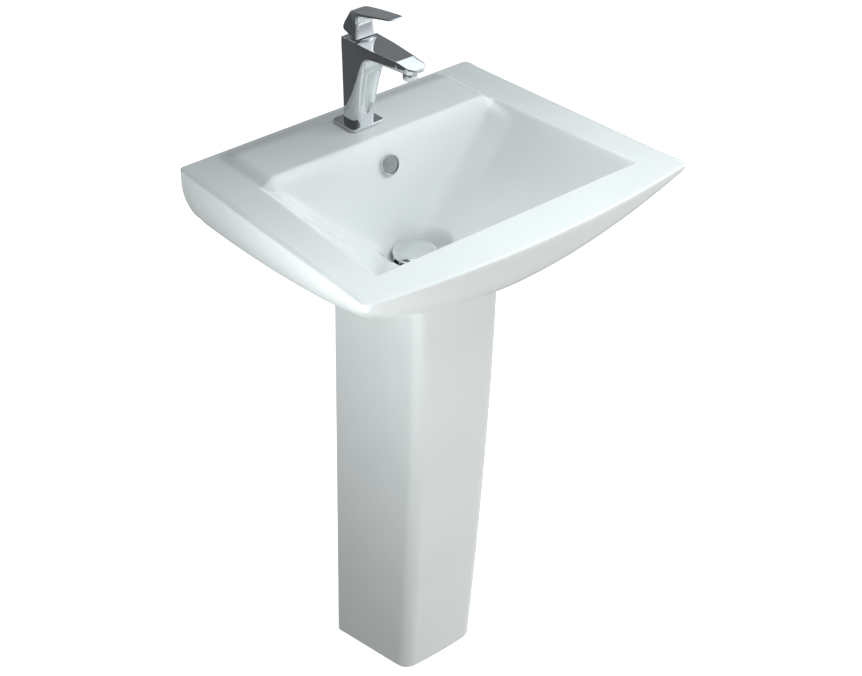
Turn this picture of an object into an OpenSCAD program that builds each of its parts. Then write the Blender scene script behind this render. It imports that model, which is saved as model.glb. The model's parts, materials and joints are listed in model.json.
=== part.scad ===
// Pedestal sink: a glazed basin on a hollow column, with a single lever mixer tap,
// a push waste, an overflow and a bottle trap inside the column.
// +Z is up and the front faces -Y. The origin is on the floor, midway between
// the wall and the front edge. "Out" is a distance from the wall towards the front.

/* [Basin] */
// Width across the front corners
basin_w = 550; // [540:1:560]
// Width along the wall
basin_back_w = 507; // [500:1:515]
// Distance from the wall to the middle of the front edge
basin_depth = 449; // [446:1:455]
// How far the front edge bows out past its corners
front_bow = 23; // [15:1:28]
// Height of the rim above the floor
rim_h = 843; // [780:1:880]
// Height of the tap platform above the rim
deck_rise = 10; // [8:1:12]
// Radius of the basin's corners seen from above
corner_r = 9; // [5:1:14]

/* [Bowl] */
// Half width of the bowl's opening at its back edge
bowl_back_half = 204; // [198:1:208]
// Half width of the bowl's opening at its front edge
bowl_front_half = 225; // [218:1:230]
// Distance out from the wall to the bowl's back edge
bowl_back_out = 112; // [110:1:114]
// Distance out from the wall to the bowl's front edge
bowl_front_out = 380; // [374:1:384]
// Distance out from the wall to the drain
drain_out = 188; // [186:1:190]

/* [Tap] */
// Distance out from the wall to the tap hole
tap_out = 66; // [65:1:67]
// Distance out from the wall to the tip of the spout
spout_tip_out = 199; // [196:1:204]
// Distance out from the wall to the aerator
aerator_out = 178; // [174:1:180]

/* [Column] */
// Half width of the foot at its front
foot_front_half = 66; // [62:1:72]
// Half width of the foot at its back
foot_back_half = 87.5; // [84:0.5:92]
// Distance out from the wall to the front of the foot
foot_front_out = 239; // [234:1:244]
// Distance out from the wall to the back edges of the foot
foot_back_out = 98.5; // [96:0.5:104]
// How far the front of the column leans out at the top
column_lean = 44; // [36:1:50]
// Thickness of the column's wall
column_t = 12; // [10:1:13]

/* [Hidden] */
$fn = 64;

china = "white";
metal = "silver";
bronze = "goldenrod";
copper = "chocolate";
soft = "dimgray";
polymer = "lightgray";

// Basin shape
side_out = basin_depth - front_bow;
edge_t = 1.5;
skin = 18;
roof = 15;
side_fall_max = 160;
side_power = 1.35;
back_slope = 13.9;
back_soft = 60;
front_fall_max = 300;
front_soft = 120;
settle_h = 5;
flat_r = 56;
flat_band = 19;
flat_squeeze = 1.35;
deck_z = rim_h + deck_rise;
deck_t = 17;
back_t = 14;

// Drain and waste levels
seat_z = rim_h - 154.5;
floor_z = seat_z + 1.5;
boss_z = rim_h - 186;
drain_r = 23;
boss_r = 36;
recess_half = 65;
recess_r = 34.5;
flange_r = 31.5;
flange_z = seat_z + 0.8;
flange_top = flange_z + 2;
waste_r = 20.95;
waste_bore_r = 17;
waste_low = rim_h - 243;
plug_gap = 6.1;
seal_z = flange_top + plug_gap;
cap_z = seal_z + 1.6;
cap_r = 32.5;
bar_z = rim_h - 203;
housing_top = rim_h - 177;
plug_stem_r = 2.55;

// Trap levels
tube_r = 15.8;
tube_end_r = 16;
tube_end_h = 50;
bottle_r = 29;
bottle_top = rim_h - 323;
bottle_low = rim_h - 403;
outlet_z = rim_h - 350;
nut_out = drain_out - 36;
bend_out = nut_out - 12;
bend_r = 24;
pipe_out = bend_out - bend_r;
socket_z = outlet_z - bend_r - 30;

// Overflow
overflow_out = 130.5;
overflow_z = rim_h - 29;
overflow_tilt = 13.4;
overflow_r = 12;

// Wall and floor fixings
wall_fix_half = 140;
wall_fix_z = rim_h - 58;
wall_fix_r = 7;
floor_fix_half = 56;
floor_fix_out = 130;
floor_fix_r = 4;

// Tap levels
tap_hole_r = 17.5;
plate_z = deck_z + 0.8;
body_z = deck_z + 5;
tap_top = deck_z + 132;
tail_half = 9;
tail_r = 4.8;
tail_end_r = 5;
tail_end_h = 30;
tail_low = rim_h - 243;
stud_out = 77;
swivel_out = 78;
seat_cart = deck_z + 95;
pivot_z = deck_z + 120;
stem_half = 3.5;
run_gap = 0.05;

function out(d) = basin_depth / 2 - d;
function ramp(t) = let (c = min(max(t, 0), 1)) c * c * (3 - 2 * c);
function round_off(t, r) = t <= 0 ? 0 : r - sqrt(max(r * r - t * t, 0));

function half_w(d) = (basin_back_w + (basin_w - basin_back_w) * min(d, side_out) / side_out) / 2;
function bowl_half(d) =
  bowl_back_half + (bowl_front_half - bowl_back_half) * (d - 121) / (bowl_front_out - 121);
function front_line(x) =
  basin_depth - front_bow * pow(x / (basin_w / 2), 2)
  - round_off(abs(x) - basin_w / 2 + corner_r, corner_r);
function back_line(x) = round_off(abs(x) - basin_back_w / 2 + corner_r, corner_r);

// Depth of the underside below the rim, from its distances to the front and side edges
function edge_fall(t, r, a, s) = a * sqrt(max(1 - pow(1 - min(t / r, 1), 2), 0)) + s * t;
function belly_raw(x, d) =
  let (f = max(front_line(x) - d, 0.001))
  let (s = max(half_w(d) - abs(x), 0.001))
  let (ff = edge_fall(f, 62, 47 * (1 - 0.63 * pow(x / (basin_w / 2), 2)), 0.836))
  let (fs = edge_fall(s, 28, 60 * (1 - 0.69 * pow(d / side_out, 2)), 0.92))
  pow(pow(ff, -3) + pow(fs, -3), -1 / 3);
function belly(x, d) = let (b = belly_raw(x, d)) b < 90 ? b : 90 + 115 * (1 - exp((90 - b) / 115));
function low_z(x, d) = rim_h - edge_t - belly(x, d);

// Depth of the bowl, blended from its side, back and front walls
function side_fall(x, d) = side_fall_max * (1 - pow(abs(x) / bowl_half(d), side_power));
function back_fall(d) =
  back_slope * (sqrt(pow(d - bowl_back_out, 2) + back_soft * back_soft) - back_soft);
function front_fall(d) = front_fall_max * (1 - exp((d - bowl_front_out) / front_soft));
function in_bowl(x, d) = abs(x) < bowl_half(d) - 0.001 && d > bowl_back_out && d < bowl_front_out;
function bowl(x, d) = !in_bowl(x, d) ? 0
  : pow(pow(side_fall(x, d), -4) + pow(back_fall(d), -4) + pow(front_fall(d), -4), -0.25);
function deck(x, d) = d > bowl_front_out ? 0
  : deck_rise * ramp((201 - abs(x)) / 20) * ramp((d + 2) / 44) * ramp((178 - d) / 45);

// The bowl's bottom is eased flat, and is level round the drain
function settle(z) =
  let (h = max(z - floor_z, 0))
  let (drop = h < 2 * settle_h ? h - h * h / (4 * settle_h) : settle_h)
  floor_z + h - drop * max(1 - h / (rim_h - floor_z), 0);
function near_drain(x, d) =
  let (w = (d - drain_out) * (d < drain_out ? flat_squeeze : 1))
  ramp((flat_r - sqrt(x * x + w * w)) / flat_band);
function top_z(x, d) =
  let (k = near_drain(x, d))
  k * floor_z + (1 - k) * settle(rim_h + deck(x, d) - bowl(x, d));

// Column of the grid: -1 to 1 crosses the bowl, and 1 to 2 the rim
function col_x(c, d) =
  let (b = bowl_half(d))
  abs(c) <= 1 ? c * b : sign(c) * (b + (abs(c) - 1) * (half_w(d) - b));

bowl_cols = [0, 0.07, 0.14, 0.2, 0.26, 0.33, 0.42, 0.52, 0.62, 0.72, 0.81, 0.89, 0.95, 0.98, 1];
rim_cols = [1.4, 1.7, 1.86, 1.95, 2];
half_cols = concat(bowl_cols, rim_cols);
cols = concat(
  [for (i = [len(half_cols) - 1:-1:1]) -half_cols[i]],
  half_cols
);
back_rows = [0, 0.3, 0.65, 1];
mid_rows = [
  24, 32, 60, 90, 106, 112, 116, 120, 124, 129, 135, 142, 150, 158, 167, 177, 188,
  199, 209, 219, 230, 244, 262, 284, 306, 328, 348, 364, 374, 380
];
front_rows = [0.15, 0.35, 0.55, 0.72, 0.84, 0.92, 0.97, 1];
back_band = 16;

function basin_rows(kind) = concat(
  [for (t = back_rows) [for (c = cols)
    let (x = col_x(c, 0))
    let (d = back_line(x) + t * (back_band - back_line(x)))
    [x, out(d), kind == "top" ? top_z(x, d) : low_z(x, d)]]],
  [for (d = mid_rows) [for (c = cols)
    let (x = col_x(c, d))
    [x, out(d), kind == "top" ? top_z(x, d) : low_z(x, d)]]],
  [for (t = front_rows) [for (c = cols)
    let (x = col_x(c, bowl_front_out + t * (side_out - bowl_front_out)))
    let (d = bowl_front_out + t * (front_line(x) - bowl_front_out))
    [x, out(d), kind == "top" ? rim_h : low_z(x, d)]]]
);

// Closed solid between two grids of points that have the same rows and columns
module grid_solid(high, low) {
  nv = len(high);
  nu = len(high[0]);
  n = nu * nv;
  pts = concat([for (r = high) for (p = r) p], [for (r = low) for (p = r) p]);
  skins = [for (j = [0:nv - 2]) for (i = [0:nu - 2])
    let (a = j * nu + i)
    let (b = a + 1)
    let (c = a + nu + 1)
    let (e = a + nu)
    each [[a, b, c], [a, c, e], [a + n, c + n, b + n], [a + n, e + n, c + n]]];
  ends = [for (i = [0:nu - 2])
    let (b = i)
    let (f = (nv - 1) * nu + i)
    each [
      [b + 1, b, b + n], [b + 1, b + n, b + 1 + n],
      [f, f + 1, f + 1 + n], [f, f + 1 + n, f + n]
    ]];
  sides = [for (j = [0:nv - 2])
    let (l = j * nu)
    let (r = j * nu + nu - 1)
    each [
      [l, l + nu, l + nu + n], [l, l + nu + n, l + n],
      [r + nu, r, r + n], [r + nu, r + n, r + nu + n]
    ]];
  polyhedron(points = pts, faces = concat(skins, ends, sides));
}

// Solid skinned over a stack of rings that have the same number of points
module ring_solid(rings) {
  nr = len(rings);
  n = len(rings[0]);
  pts = [for (r = rings) for (p = r) p];
  walls = [for (j = [0:nr - 2]) for (i = [0:n - 1])
    let (k = (i + 1) % n)
    each [
      [j * n + i, (j + 1) * n + i, (j + 1) * n + k],
      [j * n + i, (j + 1) * n + k, j * n + k]
    ]];
  low = [[for (i = [0:n - 1]) i]];
  high = [[for (i = [n - 1:-1:0]) (nr - 1) * n + i]];
  polyhedron(points = pts, faces = concat(walls, low, high));
}

module tube(r_out, r_in, z0, z1) {
  translate([0, 0, z0]) difference() {
    cylinder(r = r_out, h = z1 - z0);
    translate([0, 0, -1]) cylinder(r = r_in, h = z1 - z0 + 2);
  }
}

module at_drain() {
  translate([0, out(drain_out), 0]) children();
}

module at_swivel() {
  translate([0, out(swivel_out), 0]) children();
}

// Side profile given as [out, z] pairs, extruded along X
module side_extrude(half, profile) {
  rotate([90, 0, 90]) translate([0, 0, -half]) linear_extrude(height = 2 * half)
    polygon([for (p = profile) [out(p[0]), p[1]]]);
}

pocket_rows = [
  14, 34, 60, 88, 104, 113, 122, 132, 142, 154, 168, 186, 208, 236, 268, 300, 330, 358, 384, 406
];
pocket_in = 60;
pocket_cols = 9;
pocket_edge = 20;

function pocket_x(i, d) = pocket_in + (half_w(d) - pocket_edge - pocket_in) * i / (pocket_cols - 1);
function pocket_top(x, d) = min(
  rim_h - 14, top_z(x, d) - roof, top_z(x, d + 12) - 8, top_z(x, d - 12) - 8
);
function pocket_low(x, d) = min(low_z(x, d) + skin, pocket_top(x, d) - 6);

module side_pocket() {
  grid_solid(
    [for (d = pocket_rows) [for (i = [0:pocket_cols - 1])
      let (x = pocket_x(i, d))
      [x, out(d), pocket_top(x, d)]]],
    [for (d = pocket_rows) [for (i = [0:pocket_cols - 1])
      let (x = pocket_x(i, d))
      [x, out(d), pocket_low(x, d)]]]
  );
}

// Space behind the bowl, under the tap, open at the bottom
module back_recess() {
  side_extrude(recess_half, [
    [back_t, boss_z - 40], [back_t, rim_h - 14], [30, deck_z - deck_t], [96, deck_z - deck_t],
    [103, rim_h - 20], [107, rim_h - 53], [113, rim_h - 98], [118, rim_h - 143],
    [121, rim_h - 163], [121, boss_z - 40]
  ]);
}

module at_overflow() {
  translate([0, out(overflow_out), overflow_z]) rotate([90 - overflow_tilt, 0, 0]) children();
}

// Channel from the overflow hole down to the drain hole, inside the bowl's back wall
module overflow_channel() {
  side_extrude(10, [
    [115, rim_h - 33], [127, rim_h - 33], [138, rim_h - 141], [175, rim_h - 165],
    [175, rim_h - 179], [126, rim_h - 147]
  ]);
}

module basin() {
  color(china) difference() {
    union() {
      grid_solid(basin_rows("top"), basin_rows("low"));
      at_drain() translate([0, 0, boss_z]) cylinder(r = boss_r, h = 32);
    }
    side_pocket();
    mirror([1, 0, 0]) side_pocket();
    back_recess();
    translate([-recess_half, out(back_t + 1), boss_z - 40])
      cube([2 * recess_half, back_t + 2, rim_h - 83 - boss_z + 40]);
    at_drain() translate([0, 0, boss_z - 1]) cylinder(r = drain_r, h = 60);
    at_drain() translate([0, 0, seat_z]) cylinder(r = recess_r, h = 30);
    translate([0, out(tap_out), rim_h - 20]) cylinder(r = tap_hole_r, h = 50);
    at_overflow() translate([0, 0, -18]) cylinder(r = overflow_r, h = 40);
    overflow_channel();
    for (s = [-1, 1])
      translate([s * wall_fix_half, out(back_t + 2), wall_fix_z]) rotate([-90, 0, 0])
        cylinder(r = wall_fix_r, h = back_t + 4);
  }
}

// Column outline: half widths and distances out at height t, from 0 at the foot to 1 at the top
column_top = rim_h - 165;
function front_half(t) = foot_front_half + 8 * t;
function back_half(t) = foot_back_half - 7.5 * t;
function front_out(t) = foot_front_out + column_lean * (1 - pow(1 - min(t, 1), 1.5));
function back_out(t) = foot_back_out + 9.5 * t;

// Half of the outline as [x, out] points, from the middle of the front to the back edge
corner_steps = 8;
function half_outline(t, inset, r) =
  let (cx = front_half(t) - inset)
  let (cd = front_out(t) - inset)
  let (bx = back_half(t) - inset)
  let (bd = back_out(t))
  let (side = sqrt(pow(bx - cx, 2) + pow(cd - bd, 2)))
  let (sx = (bx - cx) / side)
  let (sd = (bd - cd) / side)
  concat(
    [[0, cd + 2], [cx * 0.3, cd + 1.8], [cx * 0.55, cd + 1.3]],
    [for (i = [0:corner_steps])
      let (u = i / corner_steps)
      let (p = [cx - r, cd + 0.4])
      let (q = [cx + sx * r, cd + sd * r])
      (1 - u) * (1 - u) * p + 2 * u * (1 - u) * [cx, cd] + u * u * q],
    [for (u = [0.25, 0.5, 0.75, 1])
      [cx + sx * (r + u * (side - r)), cd + sd * (r + u * (side - r))]]
  );
function outline(t, inset, r) =
  let (h = half_outline(t, inset, r))
  concat([for (i = [len(h) - 1:-1:1]) [-h[i][0], h[i][1]]], h);

levels = [0.93, 0.86, 0.74, 0.6, 0.46, 0.33, 0.21, 0.11, 0.04, 0];
seal_gap = 0.4;
seal_t = 1.6;
seal_gap_low = 0.25;

function column_rows(inset, r) = concat(
  [[for (p = outline(1, inset, r)) [p[0], out(p[1]), low_z(p[0], p[1]) - seal_gap - seal_t]]],
  [for (t = levels) [for (p = outline(t, inset, r)) [p[0], out(p[1]), t * column_top]]]
);
function seal_rows(inset, r) = [
  for (drop = [seal_gap, seal_gap + seal_t - seal_gap_low])
    [for (p = outline(1, inset, r)) [p[0], out(p[1]), low_z(p[0], p[1]) - drop]]
];

module pedestal() {
  color(china) difference() {
    union() {
      grid_solid(column_rows(0, 20), column_rows(column_t, 10));
      for (s = [-1, 1])
        translate([s * 60 - 18, out(146), 0]) cube([36, 32, 14]);
    }
    for (s = [-1, 1])
      translate([s * floor_fix_half, out(floor_fix_out), -1]) cylinder(r = floor_fix_r, h = 20);
  }
}

module pedestal_seal() {
  color(polymer) grid_solid(seal_rows(0, 20), seal_rows(column_t, 10));
}

module overflow_ring() {
  color(metal) at_overflow() {
    tube(15, 13.2, 0.8, 5.5);
    tube(15, 10, 0.8, 2.2);
    tube(11.9, 10, -10, 1);
  }
}

module overflow_disc() {
  color(metal) at_overflow() {
    translate([0, 0, 3.6]) cylinder(r = 12.2, h = 1.4);
    translate([0, 0, -6]) cylinder(r = 2.5, h = 10);
    translate([-9.8, -1.5, -6]) cube([19.6, 3, 3]);
  }
}

module waste_gasket() {
  color(soft) at_drain() tube(31, 23.5, seat_z, flange_z);
}

module waste_body() {
  color(metal) at_drain() difference() {
    union() {
      translate([0, 0, waste_low]) cylinder(r = waste_r, h = flange_top - waste_low);
      translate([0, 0, flange_z]) cylinder(r = flange_r, h = flange_top - flange_z);
    }
    difference() {
      translate([0, 0, waste_low - 1]) cylinder(r = waste_bore_r, h = 200);
      translate([-20, -5, bar_z]) cube([40, 10, 8]);
    }
    translate([0, 0, bar_z - 1]) cylinder(r = 4, h = 12);
    translate([-7, -30, rim_h - 175]) cube([14, 60, 14]);
  }
}

module waste_seal() {
  color(soft) at_drain() tube(33, 21.1, boss_z - 4, boss_z);
}

module waste_backnut() {
  color(bronze) at_drain() translate([0, 0, boss_z - 16]) difference() {
    cylinder(r = 32, h = 12, $fn = 6);
    translate([0, 0, -1]) cylinder(r = 21.05, h = 14);
  }
}

module click_housing() {
  color(bronze) at_drain() difference() {
    union() {
      translate([0, 0, bar_z - 4]) cylinder(r = 3.95, h = 12.1);
      translate([0, 0, bar_z + 8]) cylinder(r = 6, h = housing_top - bar_z - 8);
    }
    translate([0, 0, bar_z + 2]) cylinder(r = plug_stem_r + run_gap, h = 40);
  }
}

module plug_cap() {
  color(metal) at_drain() difference() {
    union() {
      rotate_extrude() polygon([
        [0, cap_z], [cap_r - 0.8, cap_z], [cap_r, cap_z + 0.8], [cap_r, cap_z + 3],
        [cap_r - 1, cap_z + 4.2], [cap_r - 4, cap_z + 5.4], [cap_r - 10, cap_z + 6.8],
        [cap_r - 20, cap_z + 8], [0, cap_z + 8.5]
      ]);
      translate([0, 0, cap_z - 4]) cylinder(r = 6, h = 5);
    }
    translate([0, 0, cap_z - 5]) cylinder(r = plug_stem_r + run_gap, h = 7);
  }
}

module plug_seal() {
  color(soft) at_drain() tube(30, 24, seal_z, cap_z);
}

module plug_stem() {
  color(metal) at_drain() translate([0, 0, bar_z + 10]) cylinder(r = plug_stem_r, h = cap_z - bar_z - 9);
}

// Return spring of the push plug, swept as a round wire along a helix
spring_r = 4.2;
wire_r = 0.5;
spring_turns = 5;
spring_steps = 14;
module click_spring() {
  low = housing_top + wire_r + 0.1;
  high = cap_z - 4 - wire_r - 0.1;
  count = spring_turns * spring_steps;
  color(metal) at_drain() ring_solid([for (i = [0:count])
    let (a = 360 * i / spring_steps)
    let (z = low + (high - low) * i / count)
    [for (k = [0:5])
      let (w = -60 * k)
      let (r = spring_r + wire_r * cos(w))
      [r * cos(a), r * sin(a), z + wire_r * sin(w)]]]);
}

module trap_inlet_nut() {
  color(metal) at_drain() difference() {
    union() {
      translate([0, 0, waste_low - 12]) cylinder(r = 25, h = 26);
      translate([0, 0, waste_low - 6]) cylinder(r = 27, h = 14, $fn = 8);
    }
    translate([0, 0, waste_low - 6]) cylinder(r = 21.05, h = 30);
    translate([0, 0, waste_low - 13]) cylinder(r = tube_r + 0.1, h = 30);
  }
}

module trap_washer() {
  color(soft) at_drain() tube(20.9, tube_r + 0.1, waste_low - 5.9, waste_low - 0.1);
}

module trap_inlet_tube() {
  color(metal) at_drain() tube(tube_r, 14.8, bottle_low + 18, waste_low - 0.1);
}

module trap_top_nut() {
  color(metal) at_drain() {
    tube(23, tube_r + 0.1, bottle_top, bottle_top + 6);
    tube(21, tube_r + 0.1, bottle_top + 6, bottle_top + 14);
  }
}

module trap_body() {
  stub = 42;
  color(metal) at_drain() difference() {
    union() {
      translate([0, 0, bottle_low]) cylinder(r = bottle_r, h = bottle_top - bottle_low);
      translate([0, 0, outlet_z]) rotate([-90, 0, 0]) cylinder(r = 18, h = stub);
    }
    translate([0, 0, bottle_low - 1]) cylinder(r = bottle_r - 2, h = bottle_top - bottle_low - 1);
    translate([0, 0, bottle_low]) cylinder(r = tube_r + 0.1, h = 100);
    translate([0, 20, outlet_z]) rotate([-90, 0, 0]) cylinder(r = tube_r + 0.1, h = stub);
  }
}

module trap_cup() {
  color(metal) at_drain() difference() {
    union() {
      translate([0, 0, bottle_low - 24]) cylinder(r = 28, h = 24);
      translate([0, 0, bottle_low - 10]) cylinder(r = 32, h = 18);
    }
    translate([0, 0, bottle_low - 21]) cylinder(r = 25, h = 40);
    translate([0, 0, bottle_low]) cylinder(r = bottle_r + 0.1, h = 20);
  }
}

module trap_outlet_nut() {
  color(metal) translate([0, out(nut_out), outlet_z]) rotate([-90, 0, 0]) {
    tube(22, 18.1, 0, 6);
    tube(22, tube_r + 0.1, 6.1, 12);
  }
}

// Bend from the bottle's outlet down to the floor pipe, ending in a socket
module trap_elbow() {
  color(metal) {
    translate([0, out(nut_out), outlet_z]) rotate([-90, 0, 0])
      tube(tube_r, 14.8, 0, nut_out - bend_out);
    translate([0, out(bend_out), outlet_z - bend_r]) rotate([0, -90, 0]) rotate_extrude(angle = 90)
      translate([bend_r, 0]) difference() {
        circle(r = tube_r);
        circle(r = 14.8);
      }
    translate([0, out(pipe_out), 0]) {
      tube(tube_r, 14.8, socket_z + 25, outlet_z - bend_r);
      tube(18.5, 14.8, socket_z + 22, socket_z + 25);
      tube(18.5, tube_r + 0.1, socket_z, socket_z + 22);
    }
  }
}

module outlet_tube() {
  color(metal) translate([0, out(pipe_out), 0]) {
    tube(tube_r, 14.8, 0.5 + tube_end_h, socket_z + 21.8);
    tube(tube_end_r, 14.8, 0.5, 0.5 + tube_end_h);
  }
}

module plate_outline(inset) {
  x = 27.5 - inset;
  near = 90 - inset;
  far = 42 + inset;
  c = 4;
  polygon([
    [-x + c, out(near)], [x - c, out(near)], [x, out(near - c)], [x, out(far + c)],
    [x - c, out(far)], [-x + c, out(far)], [-x, out(far + c)], [-x, out(near - c)]
  ]);
}

module tap_gasket() {
  color(soft) translate([0, 0, deck_z]) difference() {
    linear_extrude(height = 0.8) plate_outline(1.5);
    translate([0, out(tap_out), -1]) cylinder(r = 16.5, h = 4);
  }
}

module tap_plate() {
  color(metal) difference() {
    translate([0, 0, plate_z]) linear_extrude(height = body_z - plate_z) plate_outline(0);
    translate([0, out(tap_out), plate_z - 1]) cylinder(r = 16, h = 4.2);
    for (s = [-1, 1])
      translate([s * tail_half, out(tap_out), plate_z]) cylinder(r = tail_r + 0.1, h = 9);
    translate([0, out(stud_out), plate_z]) cylinder(r = 4.1, h = 9);
  }
}

// Column of the tap: [height above its foot, half width, back out, front out,
// front corner's width, front corner's depth]
tap_levels = [
  [0, 18.5, 56.5, 83.5, 9, 23], [28, 18.7, 57, 86.5, 9, 22], [60, 19.4, 57.6, 92.5, 8.5, 15.5],
  [85, 20.2, 58.4, 99.5, 7, 9.5], [100, 20.9, 59, 106, 5, 6], [112, 21.6, 59.6, 113, 3.5, 4],
  [127, 22, 60, 118, 2, 2]
];
arc_steps = 5;
function tap_ring(l) =
  let (w = l[1])
  let (r = l[4])
  let (deep = l[5])
  let (b = 1.5)
  concat(
    [[w, l[2] + b], [w - b, l[2]], [-w + b, l[2]], [-w, l[2] + b]],
    [for (i = [0:arc_steps])
      let (a = 90 * i / arc_steps)
      [-w + r - r * cos(a), l[3] - deep + deep * sin(a)]],
    [for (i = [arc_steps:-1:0])
      let (a = 90 * i / arc_steps)
      [w - r + r * cos(a), l[3] - deep + deep * sin(a)]]
  );

module tap_shell() {
  ring_solid([for (l = tap_levels) [for (p = tap_ring(l)) [p[0], out(p[1]), body_z + l[0]]]]);
}

module spout_shell() {
  tip = spout_tip_out;
  intersection() {
    side_extrude(30, [
      [100, tap_top], [100, tap_top - 24], [108, tap_top - 20.5], [114, tap_top - 17],
      [124, tap_top - 15], [tip - 18, tap_top - 14.6], [tip - 8, tap_top - 13.2],
      [tip - 2, tap_top - 9.5], [tip, tap_top - 6], [tip - 0.8, tap_top - 4.2],
      [tip - 3, tap_top - 3.1], [tip - 33, tap_top]
    ]);
    translate([0, 0, tap_top - 40]) linear_extrude(height = 60) polygon([
      [-22, out(90)], [-20.8, out(122)], [-15.6, out(tip - 27)], [-15.4, out(tip - 14)],
      [-13.2, out(tip - 6)], [-8, out(tip - 1.4)], [0, out(tip)], [8, out(tip - 1.4)],
      [13.2, out(tip - 6)], [15.4, out(tip - 14)], [15.6, out(tip - 27)], [20.8, out(122)],
      [22, out(90)]
    ]);
  }
}

module tap_body() {
  color(metal) difference() {
    union() {
      tap_shell();
      spout_shell();
    }
    at_swivel() translate([0, 0, seat_cart]) cylinder(r = 13, h = 60);
    translate([0, out(aerator_out), tap_top - 20]) cylinder(r = 9.55, h = 14);
    translate([0, out(aerator_out - 4), tap_top - 8.5]) rotate([-90, 0, 0])
      cylinder(r = 3.5, h = aerator_out - 4 - swivel_out);
    for (s = [-1, 1])
      translate([s * tail_half, out(tap_out), body_z - 1]) cylinder(r = tail_r + 0.05, h = 21);
    for (s = [-1, 1])
      translate([s * 8, out(tap_out + 2), body_z + 19]) rotate([4, 0, 0]) cylinder(r = 3, h = 75);
    translate([0, out(stud_out), body_z - 1]) cylinder(r = 4.05, h = 13);
  }
}

module aerator_housing() {
  color(metal) translate([0, out(aerator_out), 0]) {
    tube(9.5, 8, tap_top - 25, tap_top - 6.2);
    tube(9.9, 8, tap_top - 25, tap_top - 15);
  }
}

module aerator_insert() {
  color(polymer) translate([0, out(aerator_out), tap_top - 23.5]) difference() {
    cylinder(r = 7.95, h = 8);
    for (i = [0:5])
      rotate([0, 0, i * 60]) translate([4.8, 0, -1]) cylinder(r = 1.5, h = 10);
    translate([0, 0, -1]) cylinder(r = 1.8, h = 10);
  }
}

module cartridge() {
  color(polymer) at_swivel() difference() {
    union() {
      translate([0, 0, seat_cart]) cylinder(r = 12.9, h = 20);
      translate([0, 0, seat_cart + 20]) cylinder(r = 11.4, h = 9.9);
    }
    translate([0, 0, seat_cart + 12]) cylinder(r = 9.05, h = 30);
    for (s = [-1, 1])
      translate([s * 5, 4, seat_cart - 1]) cylinder(r = 2.5, h = 14);
    translate([0, -8, seat_cart - 1]) cylinder(r = 2.8, h = 8);
  }
}

module cartridge_nut() {
  color(bronze) at_swivel() difference() {
    translate([0, 0, seat_cart + 30]) cylinder(r = 12.9, h = tap_top - seat_cart - 30.1);
    translate([0, 0, seat_cart + 29]) cylinder(r = 7.5, h = 30);
    translate([0, 0, seat_cart + 31.6]) cylinder(r = 10.5, h = 30);
  }
}

module tap_collar() {
  color(metal) at_swivel() difference() {
    translate([0, 0, tap_top]) cylinder(r = 16, h = 1.8);
    translate([0, 0, tap_top - 1]) cylinder(r = 10.5, h = 4);
  }
}

module stem_carrier() {
  color(polymer) at_swivel() difference() {
    translate([0, 0, seat_cart + 12.1]) cylinder(r = 9, h = 17.8);
    translate([-stem_half - 0.1, -7, seat_cart + 15]) cube([2 * stem_half + 0.2, 13.6, 20]);
    translate([-10, 0, pivot_z]) rotate([0, 90, 0]) cylinder(r = 1.5, h = 20);
  }
}

module stem_pin() {
  color(metal) at_swivel() translate([-8.4, 0, pivot_z]) rotate([0, 90, 0]) cylinder(r = 1.5, h = 16.8);
}

module lever_stem() {
  color(metal) at_swivel() difference() {
    translate([-stem_half, -stem_half, pivot_z - 6.5])
      cube([2 * stem_half, 2 * stem_half, 46]);
    translate([-10, 0, pivot_z]) rotate([0, 90, 0]) cylinder(r = 1.5 + run_gap, h = 20);
  }
}

// Lever: a block over the cartridge, wider at its foot, and a thin blade rising over the spout
lever_profile = [
  [57.6, 9.4], [56.3, 12.5], [57.5, 18], [63.2, 30.5], [66.3, 35.2], [70.5, 37.9], [82, 39.6],
  [106, 43.6], [142, 50], [150.5, 51.4], [153, 51], [153, 50], [148, 48], [122, 43],
  [98, 38.4], [89, 35.8], [85.5, 33], [84, 27], [84, 17], [85, 10], [87.6, 2.8], [86, 2.4],
  [78, 3.2], [68, 6.8], [62, 7.6]
];
grub_z = tap_top + 19;
module lever() {
  color(metal) difference() {
    intersection() {
      side_extrude(30, [for (p = lever_profile) [p[0], p[1] + tap_top]]);
      translate([0, 0, tap_top - 5]) linear_extrude(height = 80) polygon([
        [-20, out(50)], [-20, out(88)], [-15, out(92)], [-14.7, out(106)], [-12, out(142)],
        [-10.6, out(149)], [-7, out(152)], [0, out(153)], [7, out(152)], [10.6, out(149)],
        [12, out(142)], [14.7, out(106)], [15, out(92)], [20, out(88)], [20, out(50)]
      ]);
      translate([0, out(40), tap_top]) rotate([90, 0, 0]) linear_extrude(height = 130) polygon([
        [-18.6, 0], [-18, 3], [-15.4, 13], [-14.4, 25], [-15.3, 40], [-15.3, 60],
        [15.3, 60], [15.3, 40], [14.4, 25], [15.4, 13], [18, 3], [18.6, 0]
      ]);
    }
    at_swivel() translate([-stem_half - 0.05, -stem_half - 0.05, tap_top - 6])
      cube([2 * stem_half + 0.1, 2 * stem_half + 0.1, 34]);
    translate([0, out(54), grub_z]) rotate([90, 0, 0]) cylinder(r = 2.05, h = 24);
    translate([0, out(54), grub_z]) rotate([90, 0, 0]) cylinder(r = 3.5, h = 7);
  }
}

module grub_screw() {
  color(soft) translate([0, out(67.6), grub_z]) rotate([90, 0, 0]) difference() {
    cylinder(r = 2, h = 6.8);
    translate([0, 0, -1]) cylinder(r = 1.1, h = 3, $fn = 6);
  }
}

module index_cap() {
  color(polymer) translate([0, out(59.5), grub_z]) rotate([90, 0, 0]) cylinder(r = 3.45, h = 1.4);
}

module fixing_stud() {
  color(bronze) translate([0, out(stud_out), deck_z - 66]) cylinder(r = 4, h = 82);
}

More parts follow.
